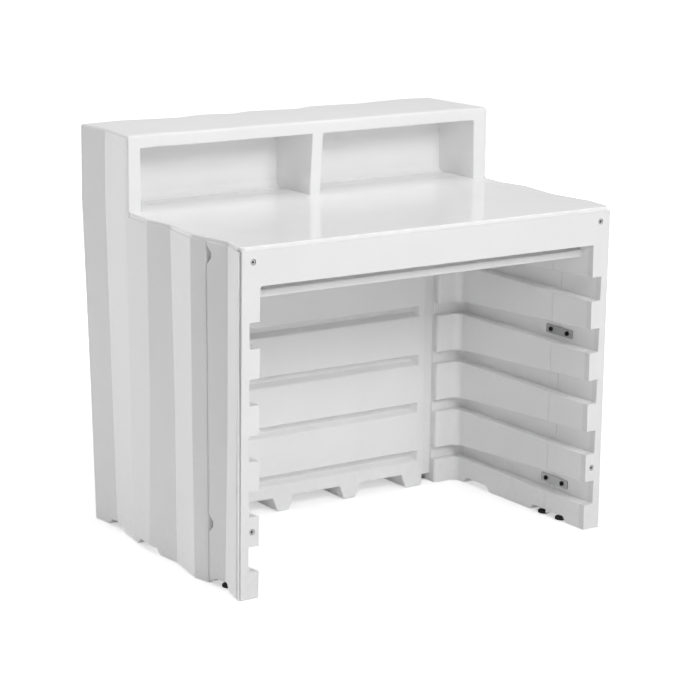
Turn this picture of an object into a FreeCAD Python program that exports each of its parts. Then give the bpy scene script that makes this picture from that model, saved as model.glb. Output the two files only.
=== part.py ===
"""A moulded bar counter with pleated walls, a raised customer ledge and an open staff side.

Millimetres, +Z up. The origin is on the floor at the middle of the counter's box.
The staff side faces -Y and the customers stand at +Y.
Inside this file Y is counted from the staff face, and export() moves each piece to the origin.
"""
import FreeCAD, Part
import os
from FreeCAD import Vector

os.makedirs("parts", exist_ok=True)

# Overall sizes
DEPTH = 830.0                 # staff face to the outermost pleat on the customer side
HALF_WIDTH = 595.0            # centre line to the outermost pleat of a side
HEIGHT = 1100.0               # floor to the top of the ledge
LEDGE_RISE = 200.0            # worktop's surface to the top of the ledge
FLOOR_GAP = 2.0               # mouldings stand clear of the floor on their feet

# Pleats: (share of the run, how far the fold lies inside the box, slant at the break, slant at the foot)
LEFT_FOLDS = [(0.0, 3.0, 0.0, 0.0), (0.106, 27.0, 6.0, 19.0), (0.271, 0.0, 0.0, -5.0),
              (0.433, 20.0, -10.0, -8.0), (0.551, 7.0, 2.0, 22.0), (0.70, 14.0, 0.0, 0.0),
              (0.866, 30.0, -3.0, -11.0), (1.0, 17.0, 0.0, 0.0)]
RIGHT_FOLDS = [(0.0, 13.0, 0.0, 0.0), (0.117, 0.0, -4.0, 10.0), (0.287, 19.0, 6.0, -12.0),
               (0.462, 0.0, -4.0, 8.0), (0.567, 18.0, 4.0, 16.0), (0.72, 6.0, -6.0, -12.0),
               (0.85, 14.0, 0.0, 12.0), (1.0, 22.0, 0.0, 0.0)]
BACK_FOLDS = [(0.10, 0.0, -4.0, 10.0), (0.245, 26.0, 6.0, -14.0), (0.32, 6.0, -5.0, 12.0),
              (0.405, 28.0, 4.0, -8.0), (0.455, 8.0, -6.0, 14.0), (0.585, 30.0, 4.0, -10.0),
              (0.64, 4.0, -3.0, 8.0), (0.775, 20.0, 7.0, -16.0), (0.91, 0.0, -4.0, 10.0)]
CORNER_SETBACK = 12.0         # rear corners lie this far inside the box
BREAK_HEIGHT = 395.0          # the pleats break at this height
BREAK_LEAN = 0.6              # share of the lean at the break
LEAN_FRONT = 4.0              # side walls lean in by this much at the foot, at the staff face
LEAN_REAR = 26.0              # and by this much at the rear corners
LEAN_BACK = 14.0              # the customer face leans in by this much

# Customer wall, ledge and niches
LEDGE_DEPTH = 276.0
# Ledge: (share of the width, setback of the top rail)
LEDGE_FOLDS = [(0.081, 12.0), (0.154, 0.0), (0.255, 1.0), (0.319, 8.0), (0.588, 1.0), (0.919, 12.0)]
TOP_ROUND = 5.0
RAIL_HEIGHT = 35.0
LEDGE_END_WALL = 52.0         # outermost pleat to a niche's outer end
NICHE_DEPTH = 158.0
NICHE_DRAFT = 7.0
NICHE_COVE = 78.0
DIVIDER_WIDTH = 34.0
DIVIDER_LEAN = 10.0           # the divider's top stands this far to the right of its foot
PANEL_SETBACK = 33.0          # inner panel behind the ledge's front
PILASTER_WIDTH = 75.0
PILASTER_GROOVE_DEPTH = 22.0
PILASTER_ROUND = 22.0         # between the pilaster and the side wall
GROOVE_TURN = 28.0            # round where a groove turns the corner
CORNER_CHANNEL_WIDTH = 46.0   # upright channel between the panel and the corner pilaster
CORNER_CHANNEL_DEPTH = 27.0
PILASTER_EDGE_ROUND = 9.0
CHANNEL_ARCH_HEIGHT = 22.0
CHANNEL_ARCH_DEPTH = 60.0
PANEL_FOOT_PITCH = 226.0
PANEL_FOOT_WIDTH = 36.0
PANEL_END_FOOT_WIDTH = 56.0
PANEL_FOOT_FLARE = 18.0       # each flank of a foot spreads by this much at its top
PANEL_FOOT_HEIGHT = 40.0
PANEL_FOOT_COUNT = 4
PANEL_CUTOUT_DEPTH = 120.0

# Side walls and the shelf grooves
SEAM_FROM_FRONT = 165.0       # joint between an end post and its side wall
SEAM_GAP = 1.2
SIDE_WALL_THICK = 67.0        # outermost pleat to the inner face of the walls
GROOVE_DEPTH = 30.0
GROOVE_COUNT = 5
GROOVE_FIRST = 72.0           # floor to the first groove
GROOVE_TOP_CLEAR = 155.0      # last groove's floor to the fascia
GROOVE_FRONT_HEIGHT = 66.0    # the grooves narrow towards the customer side
GROOVE_REAR_HEIGHT = 36.0
PANEL_GROOVE_MARGIN = 19.0    # the panel's grooves stop short of its ends
PANEL_GROOVE_HEIGHT = 30.0    # at the mouth, below the ceiling that the corner grooves share
PANEL_GROOVE_DEPTH = 26.0
PANEL_GROOVE_SLOPE = 10.0     # the floor rises by this much towards the back
PANEL_GROOVE_DRAFT = 12.0     # each end draws in by this much
TOOTH_ROUND = 3.0

# Front frame
FRAME_THICK = 20.0
FRAME_SETBACK = 13.0          # outermost pleat to the frame's edge
FASCIA_HEIGHT = 91.0
FRAME_CORNER_ROUND = 5.0
FRAME_SHADOW_GAP = 3.0        # between the frame and the left post's lip
LIP_SETBACK = 3.0             # the lip stops this far behind the frame's face
FRAME_SCREW_INSET = 33.0      # from the frame's outer edge
FRAME_SCREW_DROP = 29.0       # from the frame's top edge to the upper screws
FRAME_SCREW_TOOTH = 1         # lower screws sit in the middle of this tooth

# Worktop
WORKTOP_THICK = 10.0
WORKTOP_SETBACK = 2.5         # its edge lies inside the walls' outer faces
WORKTOP_CORNER_ROUND = 16.0
WORKTOP_EDGE_ROUND = 4.0
TONGUE_LENGTH = 76.0          # its rear tongue makes the niches' floor
TONGUE_OVERLAP = 5.0          # the tongue goes under the ledge's end walls
TONGUE_FIT = 0.3
WORKTOP_SCREW_FROM_SIDE = 44.0
WORKTOP_SCREW_FROM_FRONT = 40.0

# Tie bar
BAR_HEIGHT = 21.0
BAR_DEPTH = 40.0
BAR_FROM_FRONT = 52.0
BAR_BELOW_FASCIA = 41.0       # fascia's lower edge to the bar's underside
BAR_ROUND = 4.0
BAR_PIN_RADIUS = 4.0
BAR_PIN_LENGTH = 50.0

# Joining plates across the seams
PLATE_LENGTH = 114.0
PLATE_HEIGHT = 24.0
PLATE_THICK = 3.0
PLATE_ROUND = 4.0
PLATE_RISE = 26.0             # groove floor to the plate's middle
PLATE_SCREW_SPACING = 70.0
PLATE_LEVELS = {"lower": 0, "upper": 3}

# Fasteners
FRAME_SCREW_RADIUS = 4.0
FRAME_SCREW_LENGTH = 45.0
FRAME_HEAD_RADIUS = 6.5
FRAME_HEAD_HEIGHT = 8.0
FRAME_HEAD_SETBACK = 1.5
COUNTERBORE_RADIUS = 8.0
PLATE_SCREW_RADIUS = 3.0
PLATE_SCREW_LENGTH = 9.0
PLATE_HEAD_RADIUS = 6.5
PLATE_HEAD_HEIGHT = 4.0
SOCKET_SHARE = 0.5            # across the socket's corners, as a share of the head
SOCKET_DEPTH = 3.0
INSERT_WALL = 2.0
FRAME_INSERT_LENGTH = 16.0
PLATE_INSERT_LENGTH = 7.0
THREAD_FIT = 0.15
INSERT_FIT = 0.1
WORKTOP_SCREW_RADIUS = 2.5
WORKTOP_SCREW_LENGTH = 28.0
WORKTOP_PLUG_RADIUS = 6.0
WORKTOP_PLUG_HEIGHT = 3.0
WORKTOP_HEAD_HEIGHT = 3.5
DOWEL_RADIUS = 6.0
DOWEL_LENGTH = 56.0
DOWEL_COUNT = 3
DOWEL_FROM_TOOTH_FACE = 28.0
DOWEL_FIT = 0.2

# Feet
FOOT_PAD_RADIUS = 17.0
FOOT_PAD_HEIGHT = 13.0
FOOT_STEM_RADIUS = 5.0
FOOT_STEM_LENGTH = 32.0
FOOT_HEX_RADIUS = 9.8
FOOT_STOP_GAP = 0.3
FOOT_INSERT_RADIUS = 8.0
FOOT_INSERT_LENGTH = 30.0
FOOT_FIT = 0.3
FRONT_FOOT_INSET = 50.5       # in from the outermost pleat
REAR_FOOT_INSET = 91.0
POST_FOOT_FROM_SEAM = 48.0
WALL_FOOT_FROM_SEAM = 27.0
REAR_FOOT_FROM_BACK = 140.0
ARCH_HEIGHT = 15.0
POST_ARCH_AHEAD = 88.0        # the arch under a post starts this far ahead of the seam
POST_ARCH_FALL = 24.0         # and falls towards the seam over this length
FOOT_POCKET_LENGTH = 71.0     # pocket in the inner foot of a side wall, behind the seam
FOOT_POCKET_DEPTH = 35.0
WALL_ARCH_WIDTH = 122.0
WALL_ARCH_FROM_LEDGE = 8.0
REAR_ARCH_WIDTH = 100.0       # centred on the rear feet
REAR_ARCH_DEPTH = 70.0        # in from the inner wall line
NOTCH_FROM_FLOOR = 162.0      # seam notches on the outside, to their middle
NOTCH_FROM_TOP = 44.0
NOTCH_SIZE = 46.0
NOTCH_DEPTH = 16.0

# Sizes that follow
WORKTOP_HEIGHT = HEIGHT - LEDGE_RISE
WALL_TOP = WORKTOP_HEIGHT - WORKTOP_THICK
LEDGE_FRONT = DEPTH - LEDGE_DEPTH
PANEL_FRONT = LEDGE_FRONT + PANEL_SETBACK
SIDE_RUN = DEPTH - CORNER_SETBACK
FRAME_HALF_WIDTH = HALF_WIDTH - FRAME_SETBACK
NICHE_HALF_SPAN = HALF_WIDTH - LEDGE_END_WALL
TOOTH_HALF_SPAN = HALF_WIDTH - SIDE_WALL_THICK
GROOVE_BACK = TOOTH_HALF_SPAN + GROOVE_DEPTH
PILASTER_EDGE = TOOTH_HALF_SPAN - PILASTER_WIDTH
PANEL_HALF_WIDTH = PILASTER_EDGE - CORNER_CHANNEL_WIDTH
TONGUE_HALF_WIDTH = NICHE_HALF_SPAN + TONGUE_OVERLAP
FASCIA_BOTTOM = WALL_TOP - FASCIA_HEIGHT
BAR_BOTTOM = FASCIA_BOTTOM - BAR_BELOW_FASCIA
GROOVE_PITCH = (FASCIA_BOTTOM - GROOVE_TOP_CLEAR - GROOVE_FIRST) / (GROOVE_COUNT - 1)
ARCH_TOP = FLOOR_GAP + ARCH_HEIGHT
FAR = 2.0 * (DEPTH + HALF_WIDTH)
LEAN_SHARES = {"foot": 1.0, "break": BREAK_LEAN, "upper": 0.0}
SIDES = {"left": -1.0, "right": 1.0}


def groove_floor(level):
    return GROOVE_FIRST + level * GROOVE_PITCH


def box(x0, x1, y0, y1, z0, z1):
    low = Vector(min(x0, x1), min(y0, y1), min(z0, z1))
    return Part.makeBox(abs(x1 - x0), abs(y1 - y0), abs(z1 - z0), low)


def prism(points, along):
    wire = Part.makePolygon(points + points[:1])
    return Part.Face(wire).extrude(along)


def cylinder(radius, length, base, direction):
    return Part.makeCylinder(radius, length, base, direction)


def hexagon(radius, length, base, direction):
    """A hexagonal bar; radius is to its corners."""
    ring = Part.Wire(Part.makePolygon([
        Vector(radius, 0, 0), Vector(radius / 2, radius * 0.75 ** 0.5, 0),
        Vector(-radius / 2, radius * 0.75 ** 0.5, 0), Vector(-radius, 0, 0),
        Vector(-radius / 2, -radius * 0.75 ** 0.5, 0), Vector(radius / 2, -radius * 0.75 ** 0.5, 0),
        Vector(radius, 0, 0)]))
    bar = Part.Face(ring).extrude(Vector(0, 0, length))
    bar.Placement = FreeCAD.Placement(base, FreeCAD.Rotation(Vector(0, 0, 1), direction))
    return bar


def rounded(shape, radius, chosen):
    """Rounds the edges that the chosen test accepts."""
    return shape.makeFillet(radius, [edge for edge in shape.Edges if chosen(edge)])


def runs_along(edge, axis):
    points = [vertex.Point for vertex in edge.Vertexes]
    if len(points) != 2:
        return False
    step = (points[1] - points[0]).normalize()
    return abs(abs(step.dot(axis)) - 1.0) < 1e-6


def middle(edge):
    return edge.CenterOfMass


def export(node, shape):
    placed = shape.copy()
    placed.translate(Vector(0, -DEPTH / 2, 0))
    placed.exportStep("parts/" + node + ".step")


# The pleated outline
def side_chain(folds, sign, level, extra=0.0):
    """Plan points of one side from the staff face to its rear corner."""
    chain = []
    for share, inset, slant_break, slant_foot in folds:
        lean = (LEAN_FRONT + (LEAN_REAR - LEAN_FRONT) * share) * LEAN_SHARES[level]
        slant = {"foot": slant_foot, "break": slant_break, "upper": 0.0}[level]
        y = share * SIDE_RUN + slant
        if share == 1.0:
            y -= LEAN_BACK * LEAN_SHARES[level] + extra
        chain.append((sign * (HALF_WIDTH - inset - lean - extra), y))
    return chain


def back_chain(left_corner, right_corner, level, extra=0.0):
    chain = []
    for share, inset, slant_break, slant_foot in BACK_FOLDS:
        x = left_corner[0] + share * (right_corner[0] - left_corner[0])
        lean = LEAN_BACK * LEAN_SHARES[level]
        slant = {"foot": slant_foot, "break": slant_break, "upper": 0.0}[level]
        chain.append((x + slant, DEPTH - inset - lean - extra))
    return chain


def cut_chain(chain, y, keep_front):
    """The stretch of a side in front of, or behind, the plane at y, ending on that plane."""
    for (x0, y0), (x1, y1) in zip(chain, chain[1:]):
        if y0 <= y <= y1:
            here = (x0 + (x1 - x0) * (y - y0) / (y1 - y0), y)
    if keep_front:
        return [point for point in chain if point[1] < y - 1e-6] + [here]
    return [here] + [point for point in chain if point[1] > y + 1e-6]


def plan_wire(points, z):
    corners = [Vector(x, y, z) for x, y in points]
    return Part.makePolygon(corners + corners[:1])


def wall_block():
    """The pleated block below the worktop, from which posts and side walls are cut."""
    wires = []
    for level, z in (("foot", FLOOR_GAP), ("break", BREAK_HEIGHT), ("upper", WORKTOP_HEIGHT)):
        left = side_chain(LEFT_FOLDS, -1, level)
        right = side_chain(RIGHT_FOLDS, 1, level)
        back = back_chain(left[-1], right[-1], level)
        wires.append(plan_wire(left + back + right[::-1], z))
    return Part.makeLoft(wires, True, True)


def ledge_front_chain(left, right, setback_share, extra=0.0):
    chain = []
    for share, setback in LEDGE_FOLDS:
        chain.append((left + share * (right - left), LEDGE_FRONT + setback * setback_share + extra))
    return chain


def customer_block():
    """The pleated block behind the ledge's front, from the floor to the ledge's top."""
    rows = (("foot", FLOOR_GAP, 0.0, 0.0), ("break", BREAK_HEIGHT, 0.0, 0.0),
            ("upper", WORKTOP_HEIGHT, 0.0, 0.0), ("upper", HEIGHT - TOP_ROUND, 1.0, 0.0),
            ("upper", HEIGHT, 1.0, TOP_ROUND))
    wires = []
    for level, z, setback_share, extra in rows:
        left = cut_chain(side_chain(LEFT_FOLDS, -1, level, extra), LEDGE_FRONT + extra, False)
        right = cut_chain(side_chain(RIGHT_FOLDS, 1, level, extra), LEDGE_FRONT + extra, False)
        back = back_chain(left[-1], right[-1], level, extra)
        front = ledge_front_chain(left[0][0], right[0][0], setback_share, extra)
        wires.append(plan_wire(left + back + right[::-1] + front[::-1], z))
    return Part.makeLoft(wires, True, True)


# Cutters shared by several pieces
def side_groove(sign, level):
    """One shelf groove along a side wall; its ceiling falls towards the customer side."""
    floor = groove_floor(level)
    outer = sign * GROOVE_BACK
    corners = [Vector(outer, -1, floor), Vector(outer, PANEL_FRONT, floor),
               Vector(outer, PANEL_FRONT, floor + GROOVE_REAR_HEIGHT),
               Vector(outer, -1, floor + GROOVE_FRONT_HEIGHT)]
    return prism(corners, Vector(-sign * 2 * GROOVE_DEPTH, 0, 0))


def side_grooves(sign):
    return [side_groove(sign, level) for level in range(GROOVE_COUNT)]


def corner_groove(sign, level):
    """Where a groove turns from the side wall to the pilaster."""
    floor = groove_floor(level)
    rear = PANEL_FRONT + PILASTER_GROOVE_DEPTH
    turn = box(sign * PILASTER_EDGE, sign * GROOVE_BACK, LEDGE_FRONT - 1, rear,
               floor, floor + GROOVE_REAR_HEIGHT)
    return rounded(turn, GROOVE_TURN, lambda edge: runs_along(edge, Vector(0, 0, 1))
                   and middle(edge).y > rear - 1 and abs(middle(edge).x) > GROOVE_BACK - 1)


def wall_arch():
    return (LEDGE_FRONT - WALL_ARCH_FROM_LEDGE - WALL_ARCH_WIDTH, LEDGE_FRONT - WALL_ARCH_FROM_LEDGE)


def rear_arch():
    centre = DEPTH - REAR_FOOT_FROM_BACK
    return (centre - REAR_ARCH_WIDTH / 2, centre + REAR_ARCH_WIDTH / 2)


def arch(sign, span, x_from, depth=FAR):
    """A shallow trapezoid cut under a wall, from x_from outwards."""
    start, end = span
    corners = [Vector(sign * x_from, start, 0), Vector(sign * x_from, start + ARCH_HEIGHT, ARCH_TOP),
               Vector(sign * x_from, end - ARCH_HEIGHT, ARCH_TOP), Vector(sign * x_from, end, 0)]
    return prism(corners, Vector(sign * depth, 0, 0))


def foot_pocket(sign):
    """A pocket under the side wall that starts at the seam and stays hidden from outside."""
    span = (SEAM_FROM_FRONT - ARCH_HEIGHT, SEAM_FROM_FRONT + FOOT_POCKET_LENGTH)
    return arch(sign, span, TOOTH_HALF_SPAN - 1, FOOT_POCKET_DEPTH + 1)


def post_arch(sign):
    """The arch over a post's foot; it falls towards the seam."""
    x = sign * (TOOTH_HALF_SPAN - 1)
    start = SEAM_FROM_FRONT - POST_ARCH_AHEAD
    corners = [Vector(x, start, 0), Vector(x, start + ARCH_HEIGHT, ARCH_TOP),
               Vector(x, SEAM_FROM_FRONT - POST_ARCH_FALL, ARCH_TOP),
               Vector(x, SEAM_FROM_FRONT, FLOOR_GAP + ARCH_HEIGHT / 3), Vector(x, SEAM_FROM_FRONT, 0)]
    return prism(corners, Vector(sign * FAR, 0, 0))


def pilaster_edge_round(sign):
    """What rounding takes off the pilaster's edge at the channel."""
    r = PILASTER_EDGE_ROUND
    square = box(sign * PILASTER_EDGE, sign * (PILASTER_EDGE + r), PANEL_FRONT, PANEL_FRONT + r, 0, WALL_TOP)
    axis = Vector(sign * (PILASTER_EDGE + r), PANEL_FRONT + r, 0)
    return square.cut(cylinder(r, WALL_TOP, axis, Vector(0, 0, 1)))


def foot_places():
    places = {}
    for side, sign in SIDES.items():
        near = sign * (HALF_WIDTH - FRONT_FOOT_INSET)
        places[side + "_front"] = (near, SEAM_FROM_FRONT - POST_FOOT_FROM_SEAM)
        places[side + "_middle"] = (near, SEAM_FROM_FRONT + WALL_FOOT_FROM_SEAM)
        places[side + "_rear"] = (sign * (HALF_WIDTH - REAR_FOOT_INSET), DEPTH - REAR_FOOT_FROM_BACK)
    return places


def foot_sockets(station):
    return [foot_socket(x, y) for name, (x, y) in foot_places().items() if name.endswith(station)]


def foot_socket(x, y):
    base = Vector(x, y, ARCH_TOP)
    return cylinder(FOOT_INSERT_RADIUS + INSERT_FIT, FOOT_INSERT_LENGTH, base, Vector(0, 0, 1))


def plate_screw_spots(sign):
    """Middle of each joining-plate screw on a side, on the groove's back."""
    spots = []
    for level in PLATE_LEVELS.values():
        for half in (-0.5, 0.5):
            y = SEAM_FROM_FRONT + half * PLATE_SCREW_SPACING
            spots.append(Vector(sign * GROOVE_BACK, y, groove_floor(level) + PLATE_RISE))
    return spots


def plate_insert_holes(sign):
    radius = PLATE_SCREW_RADIUS + INSERT_WALL + INSERT_FIT
    out = Vector(sign, 0, 0)
    return [cylinder(radius, PLATE_INSERT_LENGTH, spot, out) for spot in plate_screw_spots(sign)]


def frame_screw_spots():
    tooth_bottom = groove_floor(FRAME_SCREW_TOOTH - 1) + GROOVE_FRONT_HEIGHT
    tooth_middle = (tooth_bottom + groove_floor(FRAME_SCREW_TOOTH)) / 2
    spots = []
    for sign in SIDES.values():
        for z in (tooth_middle, WALL_TOP - FRAME_SCREW_DROP):
            spots.append(Vector(sign * (FRAME_HALF_WIDTH - FRAME_SCREW_INSET), 0, z))
    return spots


def frame_insert_holes():
    radius = FRAME_SCREW_RADIUS + INSERT_WALL + INSERT_FIT
    length = FRAME_HEAD_SETBACK + FRAME_HEAD_HEIGHT + FRAME_SCREW_LENGTH - FRAME_THICK
    ahead = Vector(0, 1, 0)
    holes = []
    for spot in frame_screw_spots():
        holes.append(cylinder(radius, length, spot + ahead * FRAME_THICK, ahead))
    return holes


def worktop_screw_spots():
    reach = HALF_WIDTH - WORKTOP_SCREW_FROM_SIDE
    return [Vector(sign * reach, WORKTOP_SCREW_FROM_FRONT, WORKTOP_HEIGHT) for sign in SIDES.values()]


def bar_pin_spots():
    return [Vector(sign * TOOTH_HALF_SPAN, BAR_FROM_FRONT + BAR_DEPTH / 2, BAR_BOTTOM + BAR_HEIGHT / 2)
            for sign in SIDES.values()]


def bar_pin(spot, extra=0.0):
    start = spot - Vector(BAR_PIN_LENGTH / 2, 0, 0)
    return cylinder(BAR_PIN_RADIUS + extra, BAR_PIN_LENGTH, start, Vector(1, 0, 0))


def dowel_spots():
    """Joint between side walls and customer wall: one dowel in the middle of alternate teeth."""
    spots = []
    for sign in SIDES.values():
        for number in range(DOWEL_COUNT):
            tooth_top = groove_floor(2 * number + 1) if 2 * number + 1 < GROOVE_COUNT else WALL_TOP
            tooth_bottom = groove_floor(2 * number) + GROOVE_FRONT_HEIGHT
            x = sign * (TOOTH_HALF_SPAN + DOWEL_FROM_TOOTH_FACE)
            spots.append(Vector(x, LEDGE_FRONT, (tooth_top + tooth_bottom) / 2))
    return spots


def dowel(spot, extra=0.0):
    start = spot - Vector(0, DOWEL_LENGTH / 2 + extra, 0)
    return cylinder(DOWEL_RADIUS + extra, DOWEL_LENGTH + 2 * extra, start, Vector(0, 1, 0))


# Mouldings
def niche(left_foot, right_foot, left_top, right_top):
    """A niche's hollow: drafted towards the back, with a wide cove between its floor and back."""
    floor = WORKTOP_HEIGHT
    ceiling = HEIGHT - RAIL_HEIGHT
    front = LEDGE_FRONT - 1.0
    back = LEDGE_FRONT + NICHE_DEPTH
    mouth = Part.makePolygon([Vector(left_foot, front, floor), Vector(right_foot, front, floor),
                              Vector(right_top, front, ceiling), Vector(left_top, front, ceiling),
                              Vector(left_foot, front, floor)])
    rear_left = max(left_foot, left_top) + NICHE_DRAFT
    rear_right = min(right_foot, right_top) - NICHE_DRAFT
    rear = Part.makePolygon([Vector(rear_left, back, floor), Vector(rear_right, back, floor),
                             Vector(rear_right, back, ceiling - NICHE_DRAFT),
                             Vector(rear_left, back, ceiling - NICHE_DRAFT), Vector(rear_left, back, floor)])
    hollow = Part.makeLoft([mouth, rear], True, True)
    hollow = rounded(hollow, NICHE_COVE, lambda edge: middle(edge).y > back - 1 and middle(edge).z < floor + 1)
    return hollow


def niches():
    left_wall = -NICHE_HALF_SPAN
    divider_left = -DIVIDER_WIDTH / 2
    divider_right = DIVIDER_WIDTH / 2
    left = niche(left_wall, divider_left, left_wall, divider_left + DIVIDER_LEAN)
    right = niche(divider_right, -left_wall, divider_right + DIVIDER_LEAN, -left_wall)
    return [left, right]


def panel_groove(level):
    """A groove across the inner panel, with a sloping floor and drafted ends."""
    ceiling = groove_floor(level) + GROOVE_REAR_HEIGHT
    half = PANEL_HALF_WIDTH - PANEL_GROOVE_MARGIN
    loops = []
    for y, drawn_in in ((PANEL_FRONT - 1, 0.0), (PANEL_FRONT + PANEL_GROOVE_DEPTH, 1.0)):
        end = half - drawn_in * PANEL_GROOVE_DRAFT
        floor = ceiling - PANEL_GROOVE_HEIGHT + drawn_in * PANEL_GROOVE_SLOPE
        loops.append(Part.makePolygon([Vector(-end, y, floor), Vector(end, y, floor), Vector(end, y, ceiling),
                                       Vector(-end, y, ceiling), Vector(-end, y, floor)]))
    return Part.makeLoft(loops, True, True)


def panel_cutouts():
    """Gaps between the trapezoid feet under the inner panel."""
    top = FLOOR_GAP + PANEL_FOOT_HEIGHT
    end_foot_left = PANEL_HALF_WIDTH - PANEL_END_FOOT_WIDTH
    cutters = []
    right = end_foot_left
    for number in range(1, PANEL_FOOT_COUNT):
        foot_middle = PANEL_HALF_WIDTH - PANEL_END_FOOT_WIDTH / 2 - number * PANEL_FOOT_PITCH
        left = foot_middle + PANEL_FOOT_WIDTH / 2
        y = PANEL_FRONT - 1.0
        corners = [Vector(left, y, 0), Vector(right, y, 0), Vector(right - PANEL_FOOT_FLARE, y, top),
                   Vector(left + PANEL_FOOT_FLARE, y, top)]
        cutters.append(prism(corners, Vector(0, PANEL_CUTOUT_DEPTH + 1.0, 0)))
        right = foot_middle - PANEL_FOOT_WIDTH / 2
    return cutters


def customer_wall():
    wall = customer_block()
    bay = box(-TOOTH_HALF_SPAN, TOOTH_HALF_SPAN, LEDGE_FRONT - 2 * PILASTER_ROUND, PANEL_FRONT, 0, WALL_TOP)
    bay = rounded(bay, PILASTER_ROUND, lambda edge: runs_along(edge, Vector(0, 0, 1))
                  and middle(edge).y > PANEL_FRONT - 1)
    cutters = [bay, box(-TONGUE_HALF_WIDTH, TONGUE_HALF_WIDTH, LEDGE_FRONT - 1, LEDGE_FRONT + TONGUE_LENGTH,
                        WALL_TOP, WORKTOP_HEIGHT)]
    cutters += [panel_groove(level) for level in range(GROOVE_COUNT)]
    for sign in SIDES.values():
        inner = sign * PANEL_HALF_WIDTH
        outer = sign * PILASTER_EDGE
        channel_back = PANEL_FRONT + CORNER_CHANNEL_DEPTH
        cutters.append(box(inner, outer, PANEL_FRONT - 1, channel_back, 0, WALL_TOP))
        cutters.append(pilaster_edge_round(sign))
        cutters.append(box(inner, outer, channel_back - 1, channel_back + CHANNEL_ARCH_DEPTH,
                           0, FLOOR_GAP + CHANNEL_ARCH_HEIGHT))
        cutters += side_grooves(sign)
        cutters += [corner_groove(sign, level) for level in range(GROOVE_COUNT)]
        cutters.append(arch(sign, rear_arch(), TOOTH_HALF_SPAN - REAR_ARCH_DEPTH))
    cutters += panel_cutouts()
    cutters += foot_sockets("rear")
    cutters += [dowel(spot, DOWEL_FIT) for spot in dowel_spots()]
    cutters += niches()
    return wall.cut(cutters)


def side_wall(sign):
    near = sign * TOOTH_HALF_SPAN
    seam = SEAM_FROM_FRONT + SEAM_GAP / 2
    slab = wall_block().common(box(near, sign * FAR, seam, LEDGE_FRONT, 0, WALL_TOP))
    cutters = side_grooves(sign) + plate_insert_holes(sign) + foot_sockets("middle")
    cutters += [arch(sign, wall_arch(), TOOTH_HALF_SPAN - 1), foot_pocket(sign)]
    cutters += [dowel(spot, DOWEL_FIT) for spot in dowel_spots()]
    return slab.cut(cutters)


def seam_notch(sign, z):
    """A trapezoid notch in the post's rear outer edge."""
    half = NOTCH_SIZE / 2
    x = sign * GROOVE_BACK
    y = SEAM_FROM_FRONT
    corners = [Vector(x, y + 1, z - half), Vector(x, y - NOTCH_DEPTH, z - half + NOTCH_DEPTH),
               Vector(x, y - NOTCH_DEPTH, z + half - NOTCH_DEPTH), Vector(x, y + 1, z + half)]
    return prism(corners, Vector(sign * FAR, 0, 0))


def end_post(sign):
    near = sign * TOOTH_HALF_SPAN
    seam = SEAM_FROM_FRONT - SEAM_GAP / 2
    post = wall_block().common(box(near, sign * FAR, LIP_SETBACK, seam, 0, WALL_TOP))
    lip_inner = sign * (FRAME_HALF_WIDTH + FRAME_SHADOW_GAP)
    cutters = [box(0, lip_inner, 0, FRAME_THICK, 0, WORKTOP_HEIGHT)]
    cutters += side_grooves(sign) + plate_insert_holes(sign) + frame_insert_holes() + foot_sockets("front")
    cutters.append(post_arch(sign))
    cutters += [seam_notch(sign, z) for z in (NOTCH_FROM_FLOOR, WORKTOP_HEIGHT - NOTCH_FROM_TOP)]
    cutters += [bar_pin(spot, DOWEL_FIT) for spot in bar_pin_spots()]
    bore = WORKTOP_SCREW_RADIUS + THREAD_FIT
    for spot in worktop_screw_spots():
        cutters.append(cylinder(bore, WORKTOP_SCREW_LENGTH, spot, Vector(0, 0, -1)))
    return post.cut(cutters)


def front_frame():
    opening = box(-TOOTH_HALF_SPAN, TOOTH_HALF_SPAN, -1, FRAME_THICK + 1, 0, FASCIA_BOTTOM)
    frame = box(-FRAME_HALF_WIDTH, FRAME_HALF_WIDTH, 0, FRAME_THICK, FLOOR_GAP, WALL_TOP).cut(opening)
    for sign in SIDES.values():
        frame = frame.cut(side_grooves(sign))
    deep = Vector(0, 1, 0)
    inside = FRAME_HALF_WIDTH - 1
    frame = rounded(frame, TOOTH_ROUND, lambda edge: runs_along(edge, deep) and abs(middle(edge).x) < inside
                    and middle(edge).z < FASCIA_BOTTOM - 1 and middle(edge).z > FLOOR_GAP + 1)
    frame = rounded(frame, FRAME_CORNER_ROUND, lambda edge: runs_along(edge, deep)
                    and abs(abs(middle(edge).x) - TOOTH_HALF_SPAN) < 1
                    and abs(middle(edge).z - FASCIA_BOTTOM) < 1)
    holes = []
    for spot in frame_screw_spots():
        holes.append(cylinder(COUNTERBORE_RADIUS, FRAME_HEAD_SETBACK + FRAME_HEAD_HEIGHT, spot, deep))
        holes.append(cylinder(FRAME_SCREW_RADIUS + THREAD_FIT, FRAME_THICK, spot, deep))
    return frame.cut(holes)


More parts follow.
